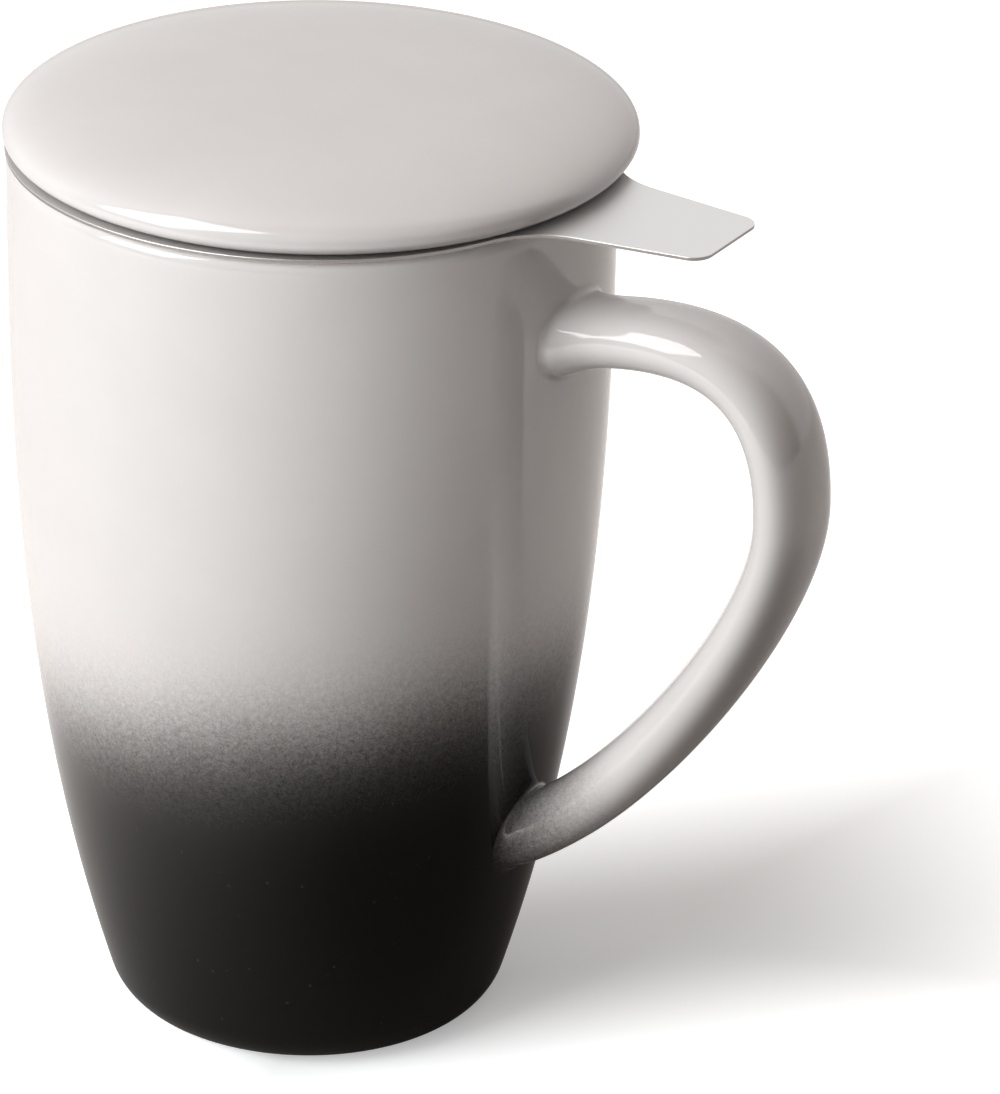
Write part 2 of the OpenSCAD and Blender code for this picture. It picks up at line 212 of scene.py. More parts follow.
class StageLook(PropertyGroup):
    """Table, lamps and camera"""
    table: colour("Table", "Colour of the table", (0.83, 0.862, 0.876))
    # Painted bounce light: the table's colour that lights the mug from below is bright in a patch beside it
    # and fades farther off.
    table_bounce: colour("Bounce", "Colour that the table throws back on to the mug", (0.95, 0.91, 0.88))
    table_dim: colour("Dim table", "Colour of the table's dim spot, as gloss shows it", (0.08, 0.074, 0.07))
    bounce_away: length("Bounce distance", "Distance of the lit patch's middle from the axis", 40 * MM)
    bounce_from: length("Bounce start", "Distance from that middle at which it starts to fade", 50 * MM)
    bounce_to: length("Bounce end", "Distance from that middle at which it has faded", 130 * MM)
    bounce_dim: share("Bounce dim", "How far it fades towards the dim colour", 0.85)
    # Painted shadow: the lift and the shadow band below hold the camera's white back where the shadow falls,
    # so its depth and outline are partly painted.
    table_lift: share("Table lift", "White that the camera sees added to the table beside the mug", 0.22)
    table_glow: share("Far lift", "White that the camera sees added to the table farther off", 0.75)
    table_gloss: share("Gloss lift", "Share of that white that gloss shows, outside the dim spot", 0.5)
    glow_from: length("Near end", "Distance from the mug's axis at which that white starts to grow", 60 * MM)
    glow_to: length("Far end", "Distance from the mug's axis at which it has grown to the full", 145 * MM)
    shadow_side: angle("Shadow side", "Side to which the shadow falls, from straight back to the right", 74)
    shadow_shift: length("Shadow shift", "How far its middle line passes in front of the axis", -2 * MM)
    shadow_from: length("Shadow core", "Distance from that line at which that white starts to grow", 6 * MM)
    shadow_to: length("Shadow edge", "Distance from that line at which it has grown to the full", 50 * MM)
    # Painted reflection: the dim spot is a darker table that only gloss sees.
    dim_side: angle("Dim side", "How far the table's dim spot lies to the right of the camera", 40)
    dim_away: length("Dim distance", "Distance of the dim spot's middle from the mug's axis", 75 * MM)
    dim_from: length("Dim end", "Distance from its middle at which the table starts to brighten", 25 * MM)
    dim_to: length("Bright end", "Distance from its middle at which the table is fully bright", 230 * MM)
    room: colour("Room", "Soft light of the room, overhead", (0.66, 0.597, 0.564))
    room_lean: angle("Room lean", "How far that light leans over, from overhead to behind the mug", 20)
    room_dim: share("Room dim", "Brightness of the room behind the camera, as gloss shows it", 0.15)
    sweep_from: number("Backdrop end", "How far round to the back the backdrop starts, as a cosine", 0.05)
    sweep_to: number("Backdrop full", "How far round to the back it is fully bright, as a cosine", 0.3)
    key_power: power("Key", "Power of the soft box", 8.3)
    key_side: angle("Key side", "How far the soft box stands to the left of the camera", 55)
    key_rise: angle("Key rise", "Height of the soft box's middle above the table, as an angle", 24)
    key_away: length("Key distance", "Distance of both soft boxes from the mug", 900 * MM)
    key_width: length("Key width", "Width of the soft box", 600 * MM)
    key_height: length("Key height", "Height of the soft box", 620 * MM)
    shine_power: power("Shine", "Power of the soft box that only gloss shows", 8.0)
    shine_side: angle("Shine side", "How far that soft box stands to the left of the camera", 68)
    shine_rise: angle("Shine rise", "Height of its middle above the table, as an angle", 46)
    shine_width: length("Shine width", "Width of that soft box", 500 * MM)
    shine_height: length("Shine height", "Height of that soft box", 900 * MM)
    camera_away: length("Camera distance", "Level distance of the camera from the mug's axis", 1073.4 * MM)
    camera_z: length("Camera height", "Height of the camera above the table", 564.7 * MM)
    camera_side: angle("Camera side", "How far the camera stands round from the handle's side view", 31)
    camera_pan: angle("Pan", "How far the camera looks to the right of the mug's axis", 1.4537)
    camera_pitch: angle("Pitch", "How far the camera looks down", 24.7135)
    camera_roll: angle("Roll", "How far the camera leans", 0.9819)
    camera_lens: FloatProperty(name="Lens", description="Focal length, for a frame 36 mm high",
                               default=271.03, unit="CAMERA")


class TeaMugSettings(PropertyGroup):
    """All settings of the tea mug"""
    mug: PointerProperty(type=MugSizes)
    handle: PointerProperty(type=HandleSizes)
    infuser: PointerProperty(type=InfuserSizes)
    lid: PointerProperty(type=LidSizes)
    glaze: PointerProperty(type=GlazeLook)
    steel: PointerProperty(type=SteelLook)
    stage: PointerProperty(type=StageLook)


# Plain geometry

def arc(middle, radius, start, end, steps):
    """Points (radius, height) along an arc, with its angles in degrees."""
    points = []
    for i in range(steps + 1):
        a = math.radians(start + (end - start) * i / steps)
        points.append((middle[0] + radius * math.cos(a), middle[1] + radius * math.sin(a)))
    return points


def signed_power(value, exponent):
    """A power that keeps the sign."""
    return math.copysign(abs(value) ** exponent, value)


def smooth(t):
    """Eases from 0 to 1."""
    return t * t * (3 - 2 * t)


def mix(a, b, t):
    """A value between two others."""
    return a + (b - a) * t


def polar(radius, turn, height):
    """A point from its radius, its angle round the axis and its height."""
    return Vector((radius * math.cos(turn), radius * math.sin(turn), height))


# Meshes

def span(mesh, first, second, material=0):
    """Joins two closed loops of vertices with faces; a loop of one vertex is a tip."""
    count = max(len(first), len(second))
    for k in range(count):
        corners = [first[k % len(first)], first[(k + 1) % len(first)],
                   second[(k + 1) % len(second)], second[k % len(second)]]
        corners = list(dict.fromkeys(corners))
        mesh.faces.new(corners).material_index = material


def span_all(mesh, loops, materials=None, closed=False):
    """Joins each loop to the next, and the last to the first if closed."""
    pairs = list(zip(loops, loops[1:]))
    if closed:
        pairs.append((loops[-1], loops[0]))
    for i, (first, second) in enumerate(pairs):
        span(mesh, first, second, materials[i] if materials else 0)


def finish_piece(mesh, name, materials, sharp_degrees=35):
    """Turns a working mesh into a smooth object with its materials."""
    bmesh.ops.recalc_face_normals(mesh, faces=mesh.faces)
    data = bpy.data.meshes.new(name)
    mesh.to_mesh(data)
    mesh.free()
    data.polygons.foreach_set("use_smooth", [True] * len(data.polygons))
    data.set_sharp_from_angle(angle=math.radians(sharp_degrees))
    for material in materials:
        data.materials.append(material)
    piece = bpy.data.objects.new(name, data)
    bpy.context.scene.collection.objects.link(piece)
    return piece


def lathe(outline, middle=(0, 0), lift=0):
    """Loops of a mesh turned from (radius, height) points; a point on the axis becomes one vertex."""
    mesh = bmesh.new()
    axis = Vector((*middle, lift))
    loops = []
    for radius, height in outline:
        on_axis = radius < 0.001 * MM
        turns = [math.tau * k / LATHE_STEPS for k in range(1 if on_axis else LATHE_STEPS)]
        loops.append([mesh.verts.new(axis + polar(radius, turn, height)) for turn in turns])
    return mesh, loops


# Shader nodes

def add_node(tree, kind, inputs=None, **settings):
    """Adds a node, sets it up and fills or links its inputs, which go by name or number."""
    made = tree.nodes.new(kind)
    for key, value in settings.items():
        setattr(made, key, value)
    for key, value in (inputs or {}).items():
        if isinstance(value, NodeSocket):
            tree.links.new(value, made.inputs[key])
        else:
            made.inputs[key].default_value = value
    return made


def calc(tree, operation, first, second=0.0, third=0.0, clamp=False):
    """A sum on one or more values."""
    inputs = {0: first, 1: second, 2: third}
    return add_node(tree, "ShaderNodeMath", inputs, operation=operation, use_clamp=clamp).outputs[0]


def measure(tree, operation, first, second):
    """A distance between two vectors, or their product, as one value."""
    return add_node(tree, "ShaderNodeVectorMath", {0: first, 1: second}, operation=operation).outputs["Value"]


def remap(tree, value, low, high, to_low=0.0, to_high=1.0, easing="SMOOTHSTEP"):
    """Moves a value from one range to another, held at its ends."""
    inputs = {"Value": value, "From Min": low, "From Max": high, "To Min": to_low, "To Max": to_high}
    return add_node(tree, "ShaderNodeMapRange", inputs, interpolation_type=easing).outputs[0]


def noise(tree, place, scale, detail=2.0, roughness=0.5):
    """Smooth noise; scale is in waves a metre."""
    inputs = {"Vector": place, "Scale": scale, "Detail": detail, "Roughness": roughness}
    return add_node(tree, "ShaderNodeTexNoise", inputs).outputs[0]


def patches(tree, place, scale, detail, low=0.0, high=1.0):
    """Smooth noise stretched over a whole range."""
    return remap(tree, noise(tree, place, scale, detail), 0.3, 0.7, low, high, "LINEAR")


def brushing(tree, place, scales):
    """Fine brushed lines, drawn out by the waves a metre on each axis."""
    stretched = add_node(tree, "ShaderNodeMapping", {"Vector": place, "Scale": scales}).outputs[0]
    return noise(tree, stretched, 1.0)


def shade(value, amount):
    """A colour made darker."""
    return [amount * c for c in value]


def blend_colours(tree, amount, first, second):
    """Mixes two colours."""
    made = add_node(tree, "ShaderNodeMix", {"Factor": amount}, data_type="RGBA")
    for socket, value in ((made.inputs[6], first), (made.inputs[7], second)):
        if isinstance(value, NodeSocket):
            tree.links.new(value, socket)
        else:
            socket.default_value = (*value, 1)
    return made.outputs[2]


def bump(tree, height, distance, normal=None):
    """Raises the surface by a height map; distance is in metres."""
    inputs = {"Height": height, "Distance": distance, "Strength": 1.0}
    if normal:
        inputs["Normal"] = normal
    return add_node(tree, "ShaderNodeBump", inputs).outputs[0]


def new_material(name, **sockets):
    """A material with one shader, whose even values are set on its own sockets."""
    material = bpy.data.materials.new(name)
    material.use_nodes = True
    tree = material.node_tree
    shader = tree.nodes["Principled BSDF"]
    for key, value in sockets.items():
        shader.inputs[key.replace("_", " ")].default_value = value
    place = add_node(tree, "ShaderNodeTexCoord").outputs["Object"]
    return material, tree, shader, place


def spots(tree, place, scale, size, keep):
    """Round spots, one a cell in the share of cells given by keep; 1 inside a spot."""
    cells = add_node(tree, "ShaderNodeTexVoronoi", {"Vector": place, "Scale": scale})
    chance = add_node(tree, "ShaderNodeSeparateColor", {0: cells.outputs["Color"]}).outputs[0]
    inside = remap(tree, cells.outputs["Distance"], size, size * 0.5)
    wanted = calc(tree, "LESS_THAN", chance, keep)
    return calc(tree, "MULTIPLY", inside, wanted)


def glaze_surface(tree, shader, place):
    """Soft waves, fine orange peel and an uneven gloss, as a fired glaze has."""
    waves = noise(tree, place, 55, 1.5)
    peel = noise(tree, place, 420, 2)
    wavy = bump(tree, waves, 0.08 * MM)
    tree.links.new(bump(tree, peel, 0.003 * MM, wavy), shader.inputs["Normal"])
    tree.links.new(patches(tree, place, 90, 3, 0.04, 0.08), shader.inputs["Roughness"])


def pale_glaze_colour(tree, place, look):
    """The pale glaze with faint clouds and a few tiny specks of iron."""
    clouds = patches(tree, place, 70, 3)
    cloudy = blend_colours(tree, clouds, shade(look.pale, 0.965), look.pale)
    specks = calc(tree, "MULTIPLY", spots(tree, place, 260, 0.08, 0.03), 0.25)
    return blend_colours(tree, specks, cloudy, look.grain)


GLAZE = {"IOR": 1.58}


def plain_glaze(look):
    """Glaze of the lid and of the inside of the mug."""
    material, tree, shader, place = new_material("pale_glaze", **GLAZE)
    tree.links.new(pale_glaze_colour(tree, place, look), shader.inputs["Base Color"])
    glaze_surface(tree, shader, place)
    return material


def sprayed_colour(tree, place, look, pale_share):
    """Pale glaze under a spray of black droplets that is thin where pale_share is high."""
    fine = remap(tree, noise(tree, place, 3400, 1.5, 0.6), 0.25, 0.75, easing="LINEAR")
    coarse = patches(tree, place, 1300, 2)
    droplets = calc(tree, "MULTIPLY_ADD", coarse, 0.35, calc(tree, "MULTIPLY", fine, 0.65))
    grain = calc(tree, "SUBTRACT", droplets, 0.5)
    black_share = calc(tree, "SUBTRACT", 1.0, pale_share)
    edge = calc(tree, "MULTIPLY", calc(tree, "MULTIPLY", pale_share, black_share), 4.0)
    grain_at_edge = calc(tree, "MULTIPLY", grain, edge)
    grainy = calc(tree, "MULTIPLY_ADD", grain_at_edge, look.grain_depth, pale_share, clamp=True)
    thin = calc(tree, "MULTIPLY", calc(tree, "SUBTRACT", 1.0, grainy), calc(tree, "MULTIPLY", grainy, 0.4))
    base = blend_colours(tree, grainy, look.black, pale_glaze_colour(tree, place, look))
    browned = blend_colours(tree, thin, base, look.grain)
    pins = calc(tree, "MULTIPLY", spots(tree, place, 900, 0.24, 0.06), black_share)
    return blend_colours(tree, calc(tree, "MULTIPLY", pins, 0.12), browned, look.grain)


def sprayed_glaze(look):
    """Glaze of the mug's outside, pale above and sprayed black below."""
    material, tree, shader, place = new_material("sprayed_glaze", **GLAZE)
    axes = add_node(tree, "ShaderNodeSeparateXYZ", {0: place})
    towards = calc(tree, "MULTIPLY", axes.outputs[0], look.slope * math.cos(look.slope_side))
    sideways = calc(tree, "MULTIPLY", axes.outputs[1], look.slope * math.sin(look.slope_side))
    rise = calc(tree, "ADD", towards, sideways)
    level = calc(tree, "SUBTRACT", axes.outputs[2], rise)
    wobble = calc(tree, "MULTIPLY_ADD", noise(tree, place, 38, 2), 3 * MM, -1.5 * MM)
    height = calc(tree, "ADD", level, wobble)
    over = calc(tree, "DIVIDE", calc(tree, "SUBTRACT", height, look.line_z), look.fade)
    pale_share = calc(tree, "MULTIPLY_ADD", calc(tree, "TANH", over), 0.5, 0.5)
    tree.links.new(sprayed_colour(tree, place, look, pale_share), shader.inputs["Base Color"])
    glaze_surface(tree, shader, place)
    return material


def handle_glaze(look, low_foot, low_way):
    """Glaze of the handle, pale, with the mug's spray over its lower root."""
    material, tree, shader, place = new_material("handle_glaze", **GLAZE)
    along = measure(tree, "DOT_PRODUCT", place, (low_way.x, 0, low_way.y))
    start = low_foot.dot(low_way)
    pale_share = remap(tree, along, start - look.root_depth, start + look.root_fade)
    tree.links.new(sprayed_colour(tree, place, look, pale_share), shader.inputs["Base Color"])
    glaze_surface(tree, shader, place)
    return material


def bare_clay(look):
    """Unglazed clay of the foot ring and of the lid's seat."""
    material, tree, shader, place = new_material("bare_clay", Roughness=0.85, Specular_IOR_Level=0.2)
    grains = patches(tree, place, 1800, 3)
    tree.links.new(blend_colours(tree, grains, shade(look.clay, 0.8), look.clay), shader.inputs["Base Color"])
    tree.links.new(bump(tree, grains, 0.04 * MM), shader.inputs["Normal"])
    return material


def polished_steel(look):
    """Rolled and polished sheet with faint hairlines."""
    material, tree, shader, place = new_material("polished_steel", Metallic=1.0)
    hairs = brushing(tree, place, (160, 4200, 4200))
    haze = noise(tree, place, 140, 3)
    hazy = blend_colours(tree, remap(tree, haze, 0.3, 0.7), shade(look.flange, 0.95), look.flange)
    dullness = remap(tree, calc(tree, "ADD", hairs, haze), 0.6, 1.4, 0.015, 0.035, "LINEAR")
    tree.links.new(hazy, shader.inputs["Base Color"])
    tree.links.new(dullness, shader.inputs["Roughness"])
    tree.links.new(bump(tree, hairs, 0.0012 * MM), shader.inputs["Normal"])
    return material


def shaded_cut_steel(look):
    """The dull cut edge of the sheet, its colour darkened as painted shade for the dark line under the lid's
    edge.
    """
    return new_material("shaded_cut_steel", Metallic=1.0, Base_Color=(*look.cut, 1), Roughness=0.35)[0]


def satin_steel(look):
    """Drawn and perforated sheet with rings of fine brushing."""
    material, tree, shader, place = new_material("satin_steel", Metallic=1.0)
    rings = brushing(tree, place, (90, 90, 5200))
    haze = noise(tree, place, 110, 3)
    hazy = blend_colours(tree, remap(tree, haze, 0.3, 0.7), shade(look.basket, 0.88), look.basket)
    tree.links.new(hazy, shader.inputs["Base Color"])
    tree.links.new(remap(tree, rings, 0.3, 0.7, 0.22, 0.38, "LINEAR"), shader.inputs["Roughness"])
    tree.links.new(bump(tree, rings, 0.003 * MM), shader.inputs["Normal"])
    return material


def shared_material(name, make, *values):
    """A material that several pieces share, made once."""
    return bpy.data.materials.get(name) or make(*values)


# Mug

def wall_radius(mug, height):
    """Outside radius of the wall at a height."""
    return mug.rim_r - mug.wall_taper * (1 - height / mug.height) ** mug.wall_power


def wall_lean(mug, height):
    """How fast the wall's radius grows with height."""
    return mug.wall_taper * mug.wall_power / mug.height * (1 - height / mug.height) ** (mug.wall_power - 1)


def rounded_heel(mug, height, top, inset, steps):
    """A rounding from a level floor up into the leaning wall, touching both."""
    lean = -math.atan(wall_lean(mug, top))
    radius = height / (1 + math.sin(lean))
    middle = (wall_radius(mug, top) - inset - radius * math.cos(lean), top - height + radius)
    return arc(middle, radius, -90, math.degrees(lean), steps)


def wall_line(mug, low, high, inset, steps):
    """Points up the wall, without its first and last."""
    heights = [mix(low, high, i / steps) for i in range(1, steps)]
    return [(wall_radius(mug, z) - inset, z) for z in heights]


def mug_outlines(mug):
    """Outlines under the foot, up the outside and down the inside."""
    outer_round = mug.rim_round
    inner_round = mug.wall_t - mug.rim_flat - outer_round
    bowl_floor = mug.foot_recess + mug.floor_t
    bowl_top = bowl_floor + mug.bowl_h
    heel = rounded_heel(mug, mug.heel_h, mug.heel_h, 0, steps=20)
    outer_rim = (mug.rim_r - outer_round, mug.height - outer_round)
    inner_rim = (mug.rim_r - mug.wall_t + inner_round, mug.height - inner_round)
    outside = (heel + wall_line(mug, mug.heel_h, mug.height - outer_round, 0, steps=72)
               + arc(outer_rim, outer_round, 0, 90, steps=14))
    inside = (arc(inner_rim, inner_round, 90, 180, steps=8)
              + wall_line(mug, bowl_top, mug.height - inner_round, mug.wall_t, steps=48)[::-1]
              + rounded_heel(mug, mug.bowl_h, bowl_top, mug.wall_t, steps=14)[::-1] + [(0, bowl_floor)])
    ring_in = heel[0][0] - mug.foot_w
    draft = mug.foot_recess / 2
    under = ([(0, mug.foot_recess), (ring_in - draft, mug.foot_recess)]
             + arc((ring_in + mug.foot_round, mug.foot_round), mug.foot_round, 205, 270, steps=5))
    return under, outside, inside


class TEAMUG_OT_mug(Operator):
    """Turn the porcelain mug and glaze it"""
    bl_idname = "teamug.mug"
    bl_label = "Mug"

    def execute(self, context):
        settings = context.scene.tea_mug
        mug = settings.mug
        under, outside, inside = mug_outlines(mug)
        outline = under + outside + inside
        mesh, loops = lathe(outline)
        sprayed, plain, clay = range(3)
        inside_from = len(under) + len(outside) - 1
        clay_from = len(under) - 3
        finishes = []
        for i in range(len(outline) - 1):
            height = max(outline[i][1], outline[i + 1][1])
            if i >= inside_from:
                finishes.append(plain)
            elif i >= clay_from and height < mug.bare_h:
                finishes.append(clay)
            else:
                finishes.append(sprayed)
        span_all(mesh, loops, finishes)
        materials = [sprayed_glaze(settings.glaze),
                     shared_material("pale_glaze", plain_glaze, settings.glaze),
                     shared_material("bare_clay", bare_clay, settings.glaze)]
        piece = finish_piece(mesh, "mug", materials)
        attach(piece, "mug")
        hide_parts("mug_body")
        return {"FINISHED"}


# Handle

def bezier(points, t):
    """A point on a cubic curve."""
    a, b, c, d = points
    return a * (1 - t) ** 3 + b * 3 * (1 - t) ** 2 * t + c * 3 * (1 - t) * t * t + d * t ** 3


def bezier_way(points, t):
    """The direction of a cubic curve."""
    a, b, c, d = points
    return ((b - a) * (1 - t) ** 2 + (c - b) * 2 * (1 - t) * t + (d - c) * t * t).normalized()


class Strap:
    """The handle's strap: t runs from 0 at the upper joint over 1 at its peak to 2 at the lower joint."""
    halvings = 40
    skin = 0.02 * MM

    def __init__(self, mug, sizes):
        self.mug = mug
        self.sizes = sizes
        top_z = mug.height - sizes.drop
        self.top_foot = Vector((wall_radius(mug, top_z), top_z))
        self.low_foot = Vector((wall_radius(mug, sizes.low), sizes.low))
        self.top_way = Vector((math.cos(sizes.climb), math.sin(sizes.climb)))
        self.low_way = Vector((math.cos(sizes.lift), math.sin(sizes.lift)))
        peak = Vector((mug.rim_r + sizes.out, mug.height - sizes.peak))
        up = Vector((0, 1))
        self.upper = (self.top_foot, self.top_foot + sizes.pull_top * self.top_way,
                      peak + sizes.pull_over * up, peak)
        self.lower = (peak, peak - sizes.pull_under * up,
                      self.low_foot + sizes.pull_low * self.low_way, self.low_foot)

    def middle(self, t):
        """Middle of the strap and its direction; past the joints it runs straight on into the wall."""
        if t < 0:
            return self.top_foot + 3 * self.sizes.pull_top * t * self.top_way, self.top_way
        if t > 2:
            return self.low_foot - 3 * self.sizes.pull_low * (t - 2) * self.low_way, -self.low_way
        if t < 1:
            return bezier(self.upper, t), bezier_way(self.upper, t)
        return bezier(self.lower, t - 1), bezier_way(self.lower, t - 1)

    def point(self, t, turn):
        """Point of the strap's surface; turn goes round its section."""
        sizes = self.sizes
        middle, way = self.middle(t)
        upper = t < 1
        blend = smooth(min(1, abs(t - 1)))
        width = mix(sizes.width_mid, sizes.width_top if upper else sizes.width_low, blend)
        thick = mix(sizes.thick_mid, sizes.thick_ends, blend)
        off_wall = max(0, middle.x - wall_radius(self.mug, middle.y))
        flare = sizes.flare_top if upper else sizes.flare_low
        swell = flare * max(0, 1 - off_wall / sizes.flare_reach) ** 2
        across = (thick / 2 + sizes.flare_flat * swell) * signed_power(math.cos(turn), 2 / sizes.square)
        aside = (width / 2 + swell) * signed_power(math.sin(turn), 2 / sizes.square)
        return Vector((middle.x - way.y * across, aside, middle.y + way.x * across))

    def wall_gap(self, t, turn):
        """Distance of a surface point from the mug's wall."""
        p = self.point(t, turn)
        return math.hypot(p.x, p.y) - wall_radius(self.mug, p.z)

    def find(self, turn, gap, search):
        """The place along the strap where a line of its surface is this far from the wall."""
        buried, clear = search
        for _ in range(self.halvings):
            half = (buried + clear) / 2
            if self.wall_gap(half, turn) < gap:
                buried = half
            else:
                clear = half
        return (buried + clear) / 2

    def on_wall(self, point, sink):
        """The nearest point on the wall at the same height and angle, sunk by a little."""
        turn = math.atan2(point.y, point.x)
        return polar(wall_radius(self.mug, point.z) - sink, turn, point.z)

    def joint(self, turn, foot, gap, search, steps, sink):
        """A concave rounding from the wall up on to the strap, and the place where it ends."""
        leave = self.find(turn, gap, search)
        strap_point = self.point(leave, turn)
        corner = self.point(self.find(turn, 0, search), turn)
        spread = corner - Vector((foot.x, 0, foot.y))
        wall_point = self.on_wall(corner + gap * spread.normalized(), self.skin)
        corner = self.on_wall(corner, 0)
        points = [self.on_wall(wall_point, sink)]
        for i in range(steps + 1):
            t = i / steps
            points.append(wall_point * (1 - t) ** 2 + corner * 2 * t * (1 - t) + strap_point * t * t)
        return points, leave


class TEAMUG_OT_handle(Operator):
    """Sweep the handle's strap, lute it on to the mug and glaze it"""
    bl_idname = "teamug.handle"
    bl_label = "Handle"

    sides = 64
    rings = 132
    fillet_steps = 8
    top_search = (-0.25, 0.6)
    low_search = (2.25, 1.4)
    sharp_degrees = 60

    def execute(self, context):
        settings = context.scene.tea_mug
        strap = Strap(settings.mug, settings.handle)
        sizes = settings.handle
        sink = settings.mug.wall_t / 4
        rails = []
        for k in range(self.sides):
            turn = math.tau * k / self.sides
            top, start = strap.joint(turn, strap.top_foot, sizes.fillet_top, self.top_search,
                                     self.fillet_steps, sink)
            low, end = strap.joint(turn, strap.low_foot, sizes.fillet_low, self.low_search,
                                   self.fillet_steps, sink)
            body = [strap.point(mix(start, end, i / self.rings), turn) for i in range(1, self.rings)]
            rails.append(top + body + low[::-1])
        mesh = bmesh.new()
        loops = [[mesh.verts.new(rail[i]) for rail in rails] for i in range(len(rails[0]))]
        span_all(mesh, loops)
        for loop in (loops[0], loops[-1]):
            heart = sum((v.co for v in loop), Vector()) / self.sides
            span(mesh, loop, [mesh.verts.new(strap.on_wall(heart, sink))])
        glaze = handle_glaze(settings.glaze, strap.low_foot, strap.low_way)
        piece = finish_piece(mesh, "handle_strap", [glaze], self.sharp_degrees)
        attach(piece, "mug")
        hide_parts("handle")
        return {"FINISHED"}


# Infuser

def tab_outline(sizes):
    """One side of the tab, from the flange's edge out to the middle of its end."""
    radius = sizes.flange_r
    end = radius + sizes.tab_len
    root = Vector((radius, sizes.tab_w_root / 2))
    way = Vector((end, sizes.tab_w_end / 2)) - root
    slant = math.atan(-way.y / way.x)
    fair_turn = math.asin(root.y / radius) + sizes.tab_fair
    start = Vector((radius * math.cos(fair_turn), radius * math.sin(fair_turn)))
    tangent = Vector((math.sin(fair_turn), -math.cos(fair_turn)))
    across = Vector((way.y, -way.x))
    run = (root - start).dot(across) / tangent.dot(across)
    corner = start + run * tangent
    fair_end = corner + abs(run) * way.normalized()
    fair_steps = 16
    fairing = []
    for i in range(fair_steps + 1):
        t = i / fair_steps
        fairing.append(start * (1 - t) ** 2 + corner * 2 * t * (1 - t) + fair_end * t * t)
    round_r = sizes.tab_corner
    side_y = sizes.tab_w_end / 2 + round_r * math.tan(slant)
    middle = Vector((end - round_r, side_y - round_r / math.cos(slant)))
    corner_arc = [Vector(p) for p in arc(middle, round_r, 90 - math.degrees(slant), 0, steps=12)]
    side_steps = 6
    side = [mix(fair_end, corner_arc[0], i / side_steps) for i in range(1, side_steps)]
    end_steps = 4
    end_line = [Vector((end, mix(corner_arc[-1].y, 0, i / end_steps))) for i in range(1, end_steps + 1)]
    return fair_turn, fairing + side + corner_arc + end_line


def flange_outline(sizes):
    """Outline of flange and tab, once round, starting at the middle of the tab's end."""
    fair_turn, half = tab_outline(sizes)
    back_steps = 150
    back = [fair_turn + (math.tau - 2 * fair_turn) * i / back_steps for i in range(1, back_steps)]
    round_part = [Vector((sizes.flange_r * math.cos(a), sizes.flange_r * math.sin(a))) for a in back]
    mirrored = [Vector((p.x, -p.y)) for p in half]
    return half[::-1] + round_part + mirrored[:-1]


def inset(outline, distance):
    """An outline moved inwards by a small distance."""
    moved = []
    for i, point in enumerate(outline):
        way = (outline[(i + 1) % len(outline)] - outline[i - 1]).normalized()
        moved.append(point + distance * Vector((-way.y, way.x)))
    return moved


class TEAMUG_OT_flange(Operator):
    """Press the infuser's flange, with its grip tab and collar"""
    bl_idname = "teamug.flange"
    bl_label = "Infuser flange"

    def execute(self, context):
        settings = context.scene.tea_mug
        sizes = settings.infuser
        outline = flange_outline(sizes)
        turns = [math.atan2(p.y, p.x) for p in outline]
        drawn_in = inset(outline, sizes.edge_round)
        top = sizes.seat_z
        bottom = top - sizes.sheet_t
        inner_r = sizes.basket_r - sizes.sheet_t
        bend_middle = (sizes.basket_r + sizes.bend_r, bottom - sizes.bend_r)
        seen_bend = arc(bend_middle, sizes.bend_r + sizes.sheet_t, 180, 90, steps=10)
        hidden_bend = arc(bend_middle, sizes.bend_r, 90, 180, steps=10)
        mesh = bmesh.new()

        def round_loop(radius, height):
            return [mesh.verts.new(polar(radius, a, height)) for a in turns]

        def edge_loop(points, height):
            return [mesh.verts.new((p.x, p.y, height)) for p in points]

        loops = [round_loop(inner_r, sizes.collar_z)]
        loops += [round_loop(*p) for p in seen_bend]
        loops += [edge_loop(drawn_in, top), edge_loop(outline, top - sizes.edge_round),
                  edge_loop(outline, bottom + sizes.edge_round), edge_loop(drawn_in, bottom)]
        loops += [round_loop(*p) for p in hidden_bend]
        loops.append(round_loop(sizes.basket_r, sizes.collar_z))
        # The flange's outer edge takes the darkened cut steel, partly painted shade for the line under the
        # lid.
        polished, cut = range(2)
        cut_span = len(seen_bend) + 2
        finishes = [cut if i == cut_span else polished for i in range(len(loops))]
        span_all(mesh, loops, finishes, closed=True)
        bmesh.ops.rotate(mesh, verts=mesh.verts, matrix=Matrix.Rotation(sizes.turn, 3, "Z"))
        materials = [shared_material("polished_steel", polished_steel, settings.steel),
                     shared_material("shaded_cut_steel", shaded_cut_steel, settings.steel)]
        piece = finish_piece(mesh, "flange_and_tab", materials)
        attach(piece, "infuser")
        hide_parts("infuser_flange")
        return {"FINISHED"}


# Each hole sits in a tile with as many points on its edge: 4 steps along its foot and top, 2 up its sides
TILE = ([(i / 4, 0) for i in range(4)] + [(1, i / 2) for i in range(2)]
        + [(1 - i / 4, 1) for i in range(4)] + [(0, 1 - i / 2) for i in range(2)])


